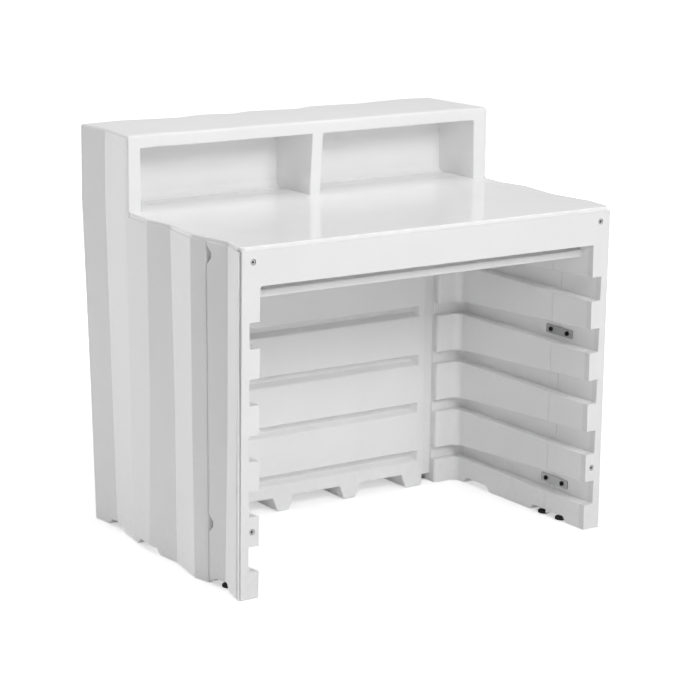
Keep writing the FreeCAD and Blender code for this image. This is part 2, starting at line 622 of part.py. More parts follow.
def worktop():
    left = cut_chain(side_chain(LEFT_FOLDS, -1, "upper", WORKTOP_SETBACK), LEDGE_FRONT, True)
    right = cut_chain(side_chain(RIGHT_FOLDS, 1, "upper", WORKTOP_SETBACK), LEDGE_FRONT, True)
    slab = Part.Face(plan_wire(left + right[::-1], WALL_TOP)).extrude(Vector(0, 0, WORKTOP_THICK))
    up = Vector(0, 0, 1)
    slab = rounded(slab, WORKTOP_CORNER_ROUND, lambda edge: runs_along(edge, up) and middle(edge).y < 1)
    slab = rounded(slab, WORKTOP_EDGE_ROUND, lambda edge: middle(edge).z > WORKTOP_HEIGHT - 0.01
                   and middle(edge).y < LEDGE_FRONT - 0.01)
    tongue_half = TONGUE_HALF_WIDTH - TONGUE_FIT
    tongue = box(-tongue_half, tongue_half, LEDGE_FRONT - 1, LEDGE_FRONT + TONGUE_LENGTH - TONGUE_FIT,
                 WALL_TOP, WORKTOP_HEIGHT - TONGUE_FIT)
    slab = slab.fuse(tongue).removeSplitter()
    holes = []
    for spot in worktop_screw_spots():
        down = Vector(0, 0, -1)
        holes.append(cylinder(WORKTOP_PLUG_RADIUS, WORKTOP_PLUG_HEIGHT + WORKTOP_HEAD_HEIGHT, spot, down))
        holes.append(cylinder(WORKTOP_SCREW_RADIUS + THREAD_FIT, WORKTOP_THICK, spot, down))
    return slab.cut(holes)


# Metal and small parts
def tie_bar():
    bar = box(-TOOTH_HALF_SPAN, TOOTH_HALF_SPAN, BAR_FROM_FRONT, BAR_FROM_FRONT + BAR_DEPTH,
              BAR_BOTTOM, BAR_BOTTOM + BAR_HEIGHT)
    bar = rounded(bar, BAR_ROUND, lambda edge: runs_along(edge, Vector(1, 0, 0)))
    return bar.cut([bar_pin(spot, DOWEL_FIT) for spot in bar_pin_spots()])


def joining_plate(sign, level):
    centre = Vector(sign * GROOVE_BACK, SEAM_FROM_FRONT, groove_floor(level) + PLATE_RISE)
    inner = sign * (GROOVE_BACK - PLATE_THICK)
    plate = box(inner, sign * GROOVE_BACK, centre.y - PLATE_LENGTH / 2, centre.y + PLATE_LENGTH / 2,
                centre.z - PLATE_HEIGHT / 2, centre.z + PLATE_HEIGHT / 2)
    plate = rounded(plate, PLATE_ROUND, lambda edge: runs_along(edge, Vector(1, 0, 0)))
    holes = []
    for spot in plate_screw_spots(sign):
        start = spot - Vector(sign * PLATE_THICK, 0, 0)
        holes.append(cylinder(PLATE_SCREW_RADIUS + THREAD_FIT, PLATE_THICK, start, Vector(sign, 0, 0)))
    return plate.cut(holes)


def socket_screw(seat, ahead, radius, length, head_radius, head_height):
    """A screw whose head stands on seat; ahead points along its shank."""
    head = cylinder(head_radius, head_height, seat - ahead * head_height, ahead)
    shank = cylinder(radius, length, seat, ahead)
    socket = hexagon(head_radius * SOCKET_SHARE, SOCKET_DEPTH, seat - ahead * head_height, ahead)
    return head.fuse(shank).removeSplitter().cut(socket)


def plate_screws():
    screws = []
    for sign in SIDES.values():
        ahead = Vector(sign, 0, 0)
        for spot in plate_screw_spots(sign):
            seat = spot - ahead * PLATE_THICK
            screws.append(socket_screw(seat, ahead, PLATE_SCREW_RADIUS, PLATE_SCREW_LENGTH,
                                       PLATE_HEAD_RADIUS, PLATE_HEAD_HEIGHT))
    return screws


def frame_screws():
    ahead = Vector(0, 1, 0)
    drop = ahead * (FRAME_HEAD_SETBACK + FRAME_HEAD_HEIGHT)
    return [socket_screw(spot + drop, ahead, FRAME_SCREW_RADIUS, FRAME_SCREW_LENGTH, FRAME_HEAD_RADIUS,
                         FRAME_HEAD_HEIGHT) for spot in frame_screw_spots()]


def insert(radius, length, base, ahead):
    sleeve = cylinder(radius + INSERT_WALL, length, base, ahead)
    return sleeve.cut(cylinder(radius + THREAD_FIT, length, base, ahead))


def plate_inserts():
    inserts = []
    for sign in SIDES.values():
        ahead = Vector(sign, 0, 0)
        inserts += [insert(PLATE_SCREW_RADIUS, PLATE_INSERT_LENGTH, spot, ahead)
                    for spot in plate_screw_spots(sign)]
    return inserts


def frame_inserts():
    ahead = Vector(0, 1, 0)
    return [insert(FRAME_SCREW_RADIUS, FRAME_INSERT_LENGTH, spot + ahead * FRAME_THICK, ahead)
            for spot in frame_screw_spots()]


def worktop_screws():
    down = Vector(0, 0, -1)
    screws = []
    for spot in worktop_screw_spots():
        head_top = spot + down * WORKTOP_PLUG_HEIGHT
        head_radius = WORKTOP_PLUG_RADIUS - DOWEL_FIT
        head = cylinder(head_radius, WORKTOP_HEAD_HEIGHT, head_top, down)
        shank = cylinder(WORKTOP_SCREW_RADIUS, WORKTOP_SCREW_LENGTH - WORKTOP_PLUG_HEIGHT, head_top, down)
        screws.append(head.fuse(shank).removeSplitter())
    return screws


def worktop_plugs():
    down = Vector(0, 0, -1)
    return [cylinder(WORKTOP_PLUG_RADIUS - DOWEL_FIT / 2, WORKTOP_PLUG_HEIGHT, spot, down)
            for spot in worktop_screw_spots()]


def foot_pad(x, y):
    """A turned pad with a sloping top."""
    r, h = FOOT_PAD_RADIUS, FOOT_PAD_HEIGHT
    rim = h / 2
    neck = FOOT_HEX_RADIUS
    start = Vector(0, 0, 0)
    profile = Part.makePolygon([start, Vector(r - 1, 0, 0), Vector(r, 0, 1), Vector(r, 0, rim),
                                Vector(neck, 0, h), Vector(0, 0, h), start])
    pad = Part.Face(profile).revolve(start, Vector(0, 0, 1), 360)
    pad.translate(Vector(x, y, 0))
    return pad


def foot_stem(x, y):
    """A threaded stem with a hexagon that stops under the insert."""
    up = Vector(0, 0, 1)
    base = Vector(x, y, FOOT_PAD_HEIGHT)
    nut = hexagon(FOOT_HEX_RADIUS, ARCH_TOP - FOOT_STOP_GAP - FOOT_PAD_HEIGHT, base, up)
    return nut.fuse(cylinder(FOOT_STEM_RADIUS, FOOT_STEM_LENGTH, base, up)).removeSplitter()


def foot_inserts():
    up = Vector(0, 0, 1)
    inserts = []
    for x, y in foot_places().values():
        base = Vector(x, y, ARCH_TOP)
        bore = cylinder(FOOT_STEM_RADIUS + FOOT_FIT, FOOT_INSERT_LENGTH, base, up)
        inserts.append(cylinder(FOOT_INSERT_RADIUS, FOOT_INSERT_LENGTH, base, up).cut(bore))
    return inserts


def main():
    export("customer_wall", customer_wall())
    export("front_frame", front_frame())
    export("worktop", worktop())
    export("tie_bar", tie_bar())
    for side, sign in SIDES.items():
        export(side + "_side_wall", side_wall(sign))
        export(side + "_end_post", end_post(sign))
        for row, level in PLATE_LEVELS.items():
            export(side + "_" + row + "_joining_plate", joining_plate(sign, level))
    export("joining_plate_screws", Part.makeCompound(plate_screws()))
    export("joining_plate_inserts", Part.makeCompound(plate_inserts()))
    export("front_frame_screws", Part.makeCompound(frame_screws()))
    export("front_frame_inserts", Part.makeCompound(frame_inserts()))
    export("worktop_screws", Part.makeCompound(worktop_screws()))
    export("worktop_plugs", Part.makeCompound(worktop_plugs()))
    export("tie_bar_pins", Part.makeCompound([bar_pin(spot) for spot in bar_pin_spots()]))
    export("wall_dowels", Part.makeCompound([dowel(spot) for spot in dowel_spots()]))
    export("foot_inserts", Part.makeCompound(foot_inserts()))
    for place, (x, y) in foot_places().items():
        export(place + "_foot_pad", foot_pad(x, y))
        export(place + "_foot_stem", foot_stem(x, y))


main()
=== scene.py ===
"""A moulded bar counter: softened mouldings, fasteners, feet, finishes and a plain studio."""
import math

import bmesh
import bpy
from bpy.props import FloatProperty, FloatVectorProperty, IntProperty, PointerProperty
from mathutils import Matrix, Vector
from mathutils.bvhtree import BVHTree


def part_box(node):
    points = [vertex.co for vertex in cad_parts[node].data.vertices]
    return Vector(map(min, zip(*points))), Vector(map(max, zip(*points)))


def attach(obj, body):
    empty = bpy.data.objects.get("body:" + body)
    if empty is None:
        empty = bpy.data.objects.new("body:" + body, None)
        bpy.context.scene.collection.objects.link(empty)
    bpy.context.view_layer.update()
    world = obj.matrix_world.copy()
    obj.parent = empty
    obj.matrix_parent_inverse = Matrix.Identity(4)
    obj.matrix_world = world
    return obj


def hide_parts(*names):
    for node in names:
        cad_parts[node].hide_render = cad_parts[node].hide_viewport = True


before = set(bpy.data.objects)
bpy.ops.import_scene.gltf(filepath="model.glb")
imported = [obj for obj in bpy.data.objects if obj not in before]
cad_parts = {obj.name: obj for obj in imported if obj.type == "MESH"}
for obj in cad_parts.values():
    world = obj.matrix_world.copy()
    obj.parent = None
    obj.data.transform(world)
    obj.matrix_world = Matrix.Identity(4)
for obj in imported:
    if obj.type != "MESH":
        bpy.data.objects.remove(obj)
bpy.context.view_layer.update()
LEDGE_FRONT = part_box("customer_wall")[0].y
FRAME_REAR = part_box("front_frame")[1].y
SEAM = (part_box("left_end_post")[1].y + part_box("left_side_wall")[0].y) / 2
WORKTOP_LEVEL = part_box("worktop")[1].z
NICHE_END = 0.545  # the niches end before this distance from the middle
NICHE_DEPTH = 0.2  # deeper than any niche
NICHE_HEIGHT = 0.16  # higher than any niche
SOLID_COVE = 0.078  # radius of the niches' cove in the solid
COVE_SLACK = 0.0006  # how far the cove's points may lie off its radius
COVE_BAND = 0.05  # points of one end of a cove lie in one band of this width
NEAR_MIDDLE = 0.05  # a cove's end nearer to the middle than this lies at the divider
NEAR_WALL = 0.5  # and one farther out than this at the ledge's end
RAIL_DEPTH = 0.02  # the ledge's rail lies within this of its front
SEAM_SLACK = 0.004  # the opened seam's edges lie within this of its middle
SEAM_FACE = 0.001  # the closed seam's edges lie within this of its middle
MERGE = 0.00001  # points nearer than this become one
NEAR = 0.0005  # places nearer than this count as the same
OFF_FACE = 0.001  # a flat remnant of a face lies within this of it
SAME_FACING = 0.9985  # cosine between a face and a flat remnant of it
FACING = 0.6  # least share of a normal that faces a given way
SIDE_FACING = 0.3  # the same for the pleats of the sides
LEVEL_FACING = 0.99  # the same for a level floor
AHEAD = 0.5  # least cosine between a fold and its run across a round
FLAT_BEND = math.radians(0.4)  # faces that bend less than this become one
FOLD_BEND = math.radians(2.5)  # pleats that bend more than this keep a crisp fold
FACE_BEND = math.radians(4.0)  # the same for other wide faces
ROUND_BEND = math.radians(34.0)  # rounds are shaded smoothly up to this
EDGE_BEND = math.radians(26.0)  # edges sharper than this are rounded
SHORTEST_EDGE = 0.012  # shorter edges of mouldings stay as they are
# Painted shade: faces of a screw within this share of its head's reach, near its front, get the near-black
# socket colour.
SOCKET_SHARE = 0.56  # a socket's reach as a share of its head's

bl_info = {
    "name": "Bar counter",
    "version": (1, 0, 0),
    "blender": (4, 5, 0),
    "location": "3D View > Sidebar > Bar counter",
    "description": "Dresses a moulded bar counter with soft edges, fasteners, feet and finishes",
    "category": "Object",
}

WALLS = ("customer_wall", "left_side_wall", "right_side_wall", "left_end_post", "right_end_post")
PLATES = ("left_lower_joining_plate", "left_upper_joining_plate",
          "right_lower_joining_plate", "right_upper_joining_plate")
INSERTS = ("joining_plate_inserts", "front_frame_inserts", "foot_inserts")
FEET = ("left_front", "left_middle", "left_rear", "right_front", "right_middle", "right_rear")
# Shares of a pad's radius and height, from the sole's middle to the top's
PAD_OUTLINE = ((0.0, 0.0), (0.9, 0.0), (1.0, 0.12), (1.0, 0.45),
               (0.93, 0.6), (0.5, 0.9), (0.4, 1.0), (0.0, 1.0))
PAD_RIM = 0.95  # ribs are cut where a pad reaches farther out than this share of its radius
PAD_BEND = math.radians(35.0)  # pads are shaded smoothly up to this


def colour(name, text, default):
    return FloatVectorProperty(name=name, description=text, subtype="COLOR", size=3, min=0.0, max=1.0,
                               default=default)


def length(name, text, default):
    return FloatProperty(name=name, description=text, subtype="DISTANCE", unit="LENGTH", min=0.0,
                         default=default)


def share(name, text, default):
    return FloatProperty(name=name, description=text, subtype="FACTOR", min=0.0, max=1.0, default=default)


class CounterMouldings(bpy.types.PropertyGroup):
    """Soft edges and satin finish of the white mouldings."""
    wall_round: length("Wall edge round", "Round on the edges of walls and posts", 0.0035)
    frame_round: length("Frame edge round", "Round on the front frame's edges", 0.002)
    round_steps: IntProperty(name="Round steps", description="Faces across each round", min=1, max=6,
                             default=3)
    wall_colour: colour("Wall colour", "Satin white of walls and posts", (0.93, 0.93, 0.93))
    frame_colour: colour("Frame colour", "Satin white of the front frame and tie bar",
                         (0.845, 0.845, 0.845))
    roughness: share("Satin roughness", "Roughness of the satin mouldings", 0.42)
    grain: length("Grain size", "Width of the moulded skin's grain", 0.0012)
    seam_gap: length("Seam gap", "How far the seam behind each post stands open at the skin", 0.006)
    niche_cove: length("Niche cove", "Cove between a niche's floor and back, as it shows", 0.022)


class CounterWorktop(bpy.types.PropertyGroup):
    """Gloss finish of the worktop."""
    colour: colour("Worktop colour", "Glossy white of the worktop", (0.94, 0.94, 0.94))
    roughness: share("Gloss roughness", "Roughness of the glossy sheet", 0.06)


class CounterMetal(bpy.types.PropertyGroup):
    """Finishes of plates, screws and inserts, and the near-black painted shade in screw sockets."""
    plate_colour: colour("Plate colour", "Zinc plated joining plates", (0.42, 0.42, 0.42))
    screw_colour: colour("Screw colour", "Plated screws", (0.45, 0.45, 0.46))
    brass_colour: colour("Insert colour", "Turned brass inserts", (0.60, 0.45, 0.20))
    # Near-black: the joining plates' screws are wholly this colour, and on the front frame's screws it is
    # painted shade in the sockets, standing in for the recess's darkness.
    socket_shade_colour: colour("Socket colour", "Dark oxide of plate screws and sockets", (0.03, 0.03, 0.03))
    # How far into each socket the painted shade reaches.
    socket_depth: length("Socket depth", "How deep the sockets are finished", 0.0033)
    screw_round: length("Screw round", "Round on the edges of heads and sockets", 0.0004)
    plate_round: length("Plate round", "Broken edges of the joining plates", 0.0004)


class CounterFeet(bpy.types.PropertyGroup):
    """Rubber pads and their stems."""
    rubber_colour: colour("Rubber colour", "Black rubber of the pads", (0.012, 0.012, 0.012))
    ribs: IntProperty(name="Ribs", description="Grip ribs round each pad", min=8, max=60, default=28)
    rib_depth: length("Rib depth", "Depth of the grip ribs", 0.0008)


class CounterStage(bpy.types.PropertyGroup):
    """Camera, lamps and floor."""
    lens: FloatProperty(name="Lens", description="Focal length in millimetres on a 36 mm sensor",
                        default=124.66)
    camera_place: FloatVectorProperty(name="Camera place", description="Where the camera stands", size=3,
                                      subtype="TRANSLATION", unit="LENGTH", default=(-3.634, -5.288, 2.011))
    camera_turn: FloatVectorProperty(name="Camera turn", description="Heading, drop and roll of the camera",
                                     size=3, subtype="EULER", unit="ROTATION",
                                     default=[math.radians(turn) for turn in (34.695, 13.324, -0.825)])
    ambient: FloatProperty(name="Ambient", description="Strength of the even studio light", default=0.17)
    upper_room: share("Upper room", "White of the studio above the horizon, as gloss mirrors it", 0.5)
    front_power: FloatProperty(name="Front lamp", description="Power of the lamp before the staff side",
                               subtype="POWER", unit="POWER", default=104.0)
    top_power: FloatProperty(name="Top lamp", description="Power of the lamp overhead",
                             subtype="POWER", unit="POWER", default=70.0)
    side_power: FloatProperty(name="Side lamp", description="Power of the lamp behind the left side",
                              subtype="POWER", unit="POWER", default=320.0)
    fill_power: FloatProperty(name="Fill lamp", description="Power of the low lamp before the staff side",
                              subtype="POWER", unit="POWER", default=17.0)
    floor_colour: colour("Floor colour", "Pale studio floor", (0.96, 0.96, 0.96))
    floor_glow: FloatProperty(name="Floor glow", description="White that the camera sees on the lit floor",
                              default=0.45)
    glow_near: length("Glow near", "Distance from the middle up to which the floor glow holds", 0.9)
    glow_far: length("Glow far", "Distance from the middle from which the floor is full white", 2.6)
    horizon_low: share("Horizon low", "Rise of a mirrored ray below which the room is white", 0.08)
    horizon_high: share("Horizon high", "Rise of a mirrored ray above which the upper room shows", 0.21)


SETTINGS = {"counter_mouldings": CounterMouldings, "counter_worktop": CounterWorktop,
            "counter_metal": CounterMetal, "counter_feet": CounterFeet, "counter_stage": CounterStage}


# Shader groups
def new_group(name, inputs, outputs):
    """A shader node group with named sockets; returns it with its input and output nodes."""
    group = bpy.data.node_groups.new(name, "ShaderNodeTree")
    for label, kind, value in inputs:
        socket = group.interface.new_socket(label, in_out="INPUT", socket_type=kind)
        socket.default_value = value
    for label, kind in outputs:
        group.interface.new_socket(label, in_out="OUTPUT", socket_type=kind)
    return group, group.nodes.new("NodeGroupInput"), group.nodes.new("NodeGroupOutput")


def maths(tree, operation, first, second):
    node = tree.nodes.new("ShaderNodeMath")
    node.operation = operation
    for socket, value in zip(node.inputs, (first, second)):
        if hasattr(value, "is_linked"):
            tree.links.new(value, socket)
        else:
            socket.default_value = value
    return node.outputs[0]


def spread(tree, value, low, high, out_low, out_high):
    node = tree.nodes.new("ShaderNodeMapRange")
    tree.links.new(value, node.inputs["Value"])
    for label, number in (("From Min", low), ("From Max", high)):
        node.inputs[label].default_value = number
    for label, number in (("To Min", out_low), ("To Max", out_high)):
        if hasattr(number, "is_linked"):
            tree.links.new(number, node.inputs[label])
        else:
            node.inputs[label].default_value = number
    return node.outputs["Result"]


def noise(tree, vector, scale, detail):
    node = tree.nodes.new("ShaderNodeTexNoise")
    node.inputs["Detail"].default_value = detail
    tree.links.new(vector, node.inputs["Vector"])
    if hasattr(scale, "is_linked"):
        tree.links.new(scale, node.inputs["Scale"])
    else:
        node.inputs["Scale"].default_value = scale
    return node.outputs["Fac"]


def bumped(tree, height, distance, strength):
    node = tree.nodes.new("ShaderNodeBump")
    node.inputs["Distance"].default_value = distance
    tree.links.new(height, node.inputs["Height"])
    tree.links.new(strength, node.inputs["Strength"])
    return node


def moulded_skin_group():
    """Fine grain, slow waves and mottling, and faint scuffs towards the floor."""
    group, given, result = new_group(
        "moulded_skin",
        [("Colour", "NodeSocketColor", (0.8, 0.8, 0.8, 1.0)), ("Roughness", "NodeSocketFloat", 0.4),
         ("Grain Scale", "NodeSocketFloat", 800.0), ("Grain Strength", "NodeSocketFloat", 0.05),
         ("Waves", "NodeSocketFloat", 0.1), ("Scuffs", "NodeSocketFloat", 0.05)],
        [("Colour", "NodeSocketColor"), ("Roughness", "NodeSocketFloat"), ("Normal", "NodeSocketVector")])
    where = group.nodes.new("ShaderNodeTexCoord").outputs["Object"]
    grain = noise(group, where, given.outputs["Grain Scale"], 3.0)
    mottle = noise(group, where, 7.0, 4.0)
    scratches = noise(group, where, 60.0, 6.0)
    split = group.nodes.new("ShaderNodeSeparateXYZ")
    group.links.new(where, split.inputs[0])
    low_down = spread(group, split.outputs["Z"], 0.0, 0.25, 1.0, 0.0)
    worn = maths(group, "MULTIPLY", low_down, spread(group, scratches, 0.5, 0.75, 0.0, 1.0))
    worn = maths(group, "MULTIPLY", worn, given.outputs["Scuffs"])
    shade = maths(group, "SUBTRACT", spread(group, mottle, 0.3, 0.7, 0.985, 1.01), worn)
    tint = group.nodes.new("ShaderNodeVectorMath")
    tint.operation = "SCALE"
    group.links.new(given.outputs["Colour"], tint.inputs[0])
    group.links.new(shade, tint.inputs["Scale"])
    group.links.new(tint.outputs[0], result.inputs["Colour"])
    rough = maths(group, "ADD", given.outputs["Roughness"], spread(group, mottle, 0.3, 0.7, -0.03, 0.04))
    rough = maths(group, "ADD", rough, maths(group, "MULTIPLY", worn, 2.0))
    group.links.new(rough, result.inputs["Roughness"])
    waves = bumped(group, noise(group, where, 14.0, 1.0), 0.004, given.outputs["Waves"])
    fine = bumped(group, grain, 0.0003, given.outputs["Grain Strength"])
    group.links.new(waves.outputs[0], fine.inputs["Normal"])
    group.links.new(fine.outputs[0], result.inputs["Normal"])
    return group


def drawn_metal_group():
    """Fine lines drawn along Y with a slow change of shade."""
    group, given, result = new_group(
        "drawn_metal",
        [("Colour", "NodeSocketColor", (0.4, 0.4, 0.4, 1.0)), ("Roughness", "NodeSocketFloat", 0.35),
         ("Lines", "NodeSocketFloat", 0.2)],
        [("Colour", "NodeSocketColor"), ("Roughness", "NodeSocketFloat"), ("Normal", "NodeSocketVector")])
    where = group.nodes.new("ShaderNodeTexCoord").outputs["Object"]
    stretch = group.nodes.new("ShaderNodeMapping")
    stretch.inputs["Scale"].default_value = (900.0, 25.0, 900.0)
    group.links.new(where, stretch.inputs["Vector"])
    lines = noise(group, stretch.outputs[0], 1.0, 4.0)
    blotch = noise(group, where, 90.0, 3.0)
    tint = group.nodes.new("ShaderNodeVectorMath")
    tint.operation = "SCALE"
    group.links.new(given.outputs["Colour"], tint.inputs[0])
    shade = maths(group, "MULTIPLY", spread(group, lines, 0.3, 0.7, 0.9, 1.08),
                  spread(group, blotch, 0.3, 0.7, 0.9, 1.08))
    group.links.new(shade, tint.inputs["Scale"])
    group.links.new(tint.outputs[0], result.inputs["Colour"])
    rough = maths(group, "ADD", given.outputs["Roughness"], spread(group, blotch, 0.3, 0.7, -0.06, 0.1))
    group.links.new(rough, result.inputs["Roughness"])
    bump = bumped(group, lines, 0.0002, given.outputs["Lines"])
    group.links.new(bump.outputs[0], result.inputs["Normal"])
    return group


def shared_group(name, maker):
    return bpy.data.node_groups.get(name) or maker()


def grouped_material(name, group, values, metallic=0.0, gloss=0.5):
    """A Principled material fed by a shared group; values are the group's own."""
    material = bpy.data.materials.new(name)
    material.use_nodes = True
    tree = material.node_tree
    shader = tree.nodes["Principled BSDF"]
    shader.inputs["Metallic"].default_value = metallic
    shader.inputs["Specular IOR Level"].default_value = gloss
    node = tree.nodes.new("ShaderNodeGroup")
    node.node_tree = group
    for label, value in values.items():
        node.inputs[label].default_value = value
    for label, target in (("Colour", "Base Color"), ("Roughness", "Roughness"), ("Normal", "Normal")):
        tree.links.new(node.outputs[label], shader.inputs[target])
    return material


def rgba(value):
    return (value[0], value[1], value[2], 1.0)


def satin(name, value, roughness, grain):
    return grouped_material(name, shared_group("moulded_skin", moulded_skin_group),
                            {"Colour": rgba(value), "Roughness": roughness, "Grain Scale": 1.0 / grain,
                             "Grain Strength": 0.06, "Waves": 0.12, "Scuffs": 0.05})


def gloss_finish(context):
    """The worktop's gloss, made once."""
    want = context.scene.counter_worktop
    return bpy.data.materials.get("gloss_worktop") or grouped_material(
        "gloss_worktop", shared_group("moulded_skin", moulded_skin_group),
        {"Colour": rgba(want.colour), "Roughness": want.roughness, "Grain Scale": 400.0,
         "Grain Strength": 0.01, "Waves": 0.0, "Scuffs": 0.0}, gloss=0.35)


def metal(name, value, roughness, lines):
    return grouped_material(name, shared_group("drawn_metal", drawn_metal_group),
                            {"Colour": rgba(value), "Roughness": roughness, "Lines": lines}, metallic=1.0)


# Mesh helpers
def dress(node, material):
    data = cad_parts[node].data
    data.materials.clear()
    data.materials.append(material)


def new_piece(name, bm, material, body):
    mesh = bpy.data.meshes.new(name)
    bm.to_mesh(mesh)
    bm.free()
    mesh.materials.append(material)
    piece = bpy.data.objects.new(name, mesh)
    bpy.context.scene.collection.objects.link(piece)
    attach(piece, body)
    return piece


def spot_in_niche(spot):
    """Whether a point lies inside a niche, behind its mouth."""
    return (abs(spot.x) < NICHE_END and LEDGE_FRONT + 2 * NEAR < spot.y < LEDGE_FRONT + NICHE_DEPTH
            and WORKTOP_LEVEL - NEAR < spot.z < WORKTOP_LEVEL + NICHE_HEIGHT)


def face_width(face, edge):
    return face.calc_area() / max(edge.calc_length(), 1e-6)


def at_joint(edge):
    """Whether an edge lies in a joint: behind frame or post, at the customer wall or along the tongue."""
    spots = [vert.co for vert in edge.verts]
    return (all(abs(spot.y - FRAME_REAR) < NEAR for spot in spots)
            or all(abs(spot.y - SEAM) < SEAM_SLACK for spot in spots)
            or all(abs(spot.y - LEDGE_FRONT) < NEAR and spot.z < WORKTOP_LEVEL + NEAR for spot in spots)
            or all(abs(spot.z - WORKTOP_LEVEL) < NEAR and spot.y > LEDGE_FRONT - NEAR for spot in spots))


def on_pleats(face):
    """Whether a face belongs to the pleated outer skin or to the ledge's pleated rail."""
    middle = face.calc_center_median()
    on_rail = middle.z > WORKTOP_LEVEL and middle.y < LEDGE_FRONT + RAIL_DEPTH and face.normal.y < -FACING
    outwards = face.normal.x * math.copysign(1.0, middle.x)
    return on_rail or face.normal.y > FACING or outwards > SIDE_FACING


def lies_in(face, solid):
    """Whether a face still lies flat in one of the solid's own faces."""
    _, normal, _, away = solid.find_nearest(face.calc_center_median())
    return away < OFF_FACE and normal.dot(face.normal) > SAME_FACING


def sharpest_smooth(edge, rounds, offset):
    """The largest angle that is still shaded smoothly across an edge."""
    if rounds.intersection(edge.link_faces):
        return ROUND_BEND
    if all(on_pleats(face) for face in edge.link_faces):
        return FOLD_BEND
    wide = min(face_width(face, edge) for face in edge.link_faces) > 2 * offset
    return FACE_BEND if wide else ROUND_BEND


def carry_folds(bm, rounds, offset):
    """Lets each crisp fold run on across the rounds at its ends."""
    crisp = [edge for edge in bm.edges if not edge.smooth and not rounds.intersection(edge.link_faces)]
    folds = [(edge, vert) for edge in crisp for vert in edge.verts]
    for fold, vert in folds:
        ahead = (vert.co - fold.other_vert(vert).co).normalized()
        for edge in vert.link_edges:
            step = edge.other_vert(vert).co - vert.co
            if (edge.smooth and step.length < 2 * offset and ahead.dot(step.normalized()) > AHEAD
                    and rounds.issuperset(edge.link_faces)):
                edge.smooth = False
                folds.append((edge, edge.other_vert(vert)))


def soften(bm, offset, steps, shortest=SHORTEST_EDGE):
    """Rounds the long outer edges of a merged solid, and keeps pleats and tight joints crisp."""
    bmesh.ops.remove_doubles(bm, verts=bm.verts, dist=MERGE)
    bmesh.ops.dissolve_limit(bm, angle_limit=FLAT_BEND, verts=bm.verts, edges=bm.edges)
    chosen = [edge for edge in bm.edges if len(edge.link_faces) == 2 and edge.is_convex
              and edge.calc_length() > shortest and edge.calc_face_angle() > EDGE_BEND
              and not at_joint(edge) and not all(spot_in_niche(vert.co) for vert in edge.verts)]
    solid = BVHTree.FromBMesh(bm)
    bmesh.ops.bevel(bm, geom=chosen, offset=offset, offset_type="OFFSET", affect="EDGES", segments=steps,
                    profile=0.5, material=-1, clamp_overlap=False)
    bm.normal_update()
    rounds = {face for face in bm.faces if not lies_in(face, solid)}
    for face in bm.faces:
        face.smooth = True
    for edge in bm.edges:
        if len(edge.link_faces) == 2:
            edge.smooth = edge.calc_face_angle() < sharpest_smooth(edge, rounds, offset)
    carry_folds(bm, rounds, offset)


def tighten_niches(bm, reach):
    """Draws the solid's wide cove between each niche's floor and back into one of the given radius."""
    bmesh.ops.remove_doubles(bm, verts=bm.verts, dist=MERGE)
    inside = [vert for vert in bm.verts if spot_in_niche(vert.co)]
    back = max(vert.co.y for vert in inside)
    ends = {}
    for vert in inside:
        y = vert.co.y - back + SOLID_COVE
        z = WORKTOP_LEVEL + SOLID_COVE - vert.co.z
        if min(y, z) > -NEAR and abs(math.hypot(y, z) - SOLID_COVE) < COVE_SLACK:
            ends.setdefault(math.floor(vert.co.x / COVE_BAND), []).append((vert, math.atan2(y, z)))
    for arc in ends.values():
        first = min(arc, key=lambda pair: pair[1])[0].co.copy()
        last = max(arc, key=lambda pair: pair[1])[0].co.copy()
        at_end = abs(last.x) < NEAR_MIDDLE or abs(last.x) > NEAR_WALL
        draft = (last.x - first.x) / (last.y - first.y) if at_end else 0.0
        for vert, turn in arc:
            y = back - reach + reach * math.sin(turn)
            x = last.x + draft * (y - last.y) if at_end else vert.co.x
            vert.co = (x, y, WORKTOP_LEVEL + reach * (1.0 - math.cos(turn)))


def open_seam(bm, gap):
    """Draws the skin's edges at the seam between post and side wall apart; the gap closes inwards."""
    bmesh.ops.remove_doubles(bm, verts=bm.verts, dist=MERGE)
    bm.normal_update()
    for vert in bm.verts:
        outwards = math.copysign(1.0, vert.co.x)
        on_skin = any(face.normal.x * outwards > FACING for face in vert.link_faces)
        if on_skin and abs(vert.co.y - SEAM) < SEAM_FACE:
            vert.co.y += math.copysign(gap / 2, vert.co.y - SEAM)


def on_niche_floor(face):
    middle = face.calc_center_median()
    return (face.normal.z > LEVEL_FACING and abs(middle.z - WORKTOP_LEVEL) < NEAR
            and middle.y > LEDGE_FRONT and abs(middle.x) < NICHE_END)


def mark_niche_floors(bm):
    """Gives the second finish to the niches' floors, with crisp borders."""
    for face in bm.faces:
        face.material_index = int(on_niche_floor(face))
    for edge in bm.edges:
        if len({face.material_index for face in edge.link_faces}) > 1:
            edge.smooth = False


def face_islands(bm):
    """Lists of the faces that hang together, one for each solid of a node."""
    waiting = set(bm.faces)
    islands = []
    while waiting:
        reached = [waiting.pop()]
        for face in reached:
            for edge in face.edges:
                found = waiting.intersection(edge.link_faces)
                waiting -= found
                reached.extend(found)
        islands.append(reached)
    return islands


def paint_socket_shade(bm, along, depth):
    """Gives the screws' sockets the second material, near-black painted shade; plate screws face the bay,
    others the staff.
    """
    for island in face_islands(bm):
        spots = [vert.co for face in island for vert in face.verts]
        low = Vector([min(spot[axis] for spot in spots) for axis in range(3)])
        high = Vector([max(spot[axis] for spot in spots) for axis in range(3)])
        middle = (low + high) / 2
        front = high[along] if along == 0 and middle.x < 0 else low[along]
        head = (high.z - low.z) / 2
        for face in island:
            aside = []
            for vert in face.verts:
                away = vert.co - middle
                away[along] = 0.0
                aside.append(away.length < SOCKET_SHARE * head and abs(vert.co[along] - front) < depth)
            # Material 1 is the near-black painted shade of the socket's recess.
            face.material_index = 1 if all(aside) else 0


def node_mesh(node):
    bm = bmesh.new()
    bm.from_mesh(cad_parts[node].data)
    return bm


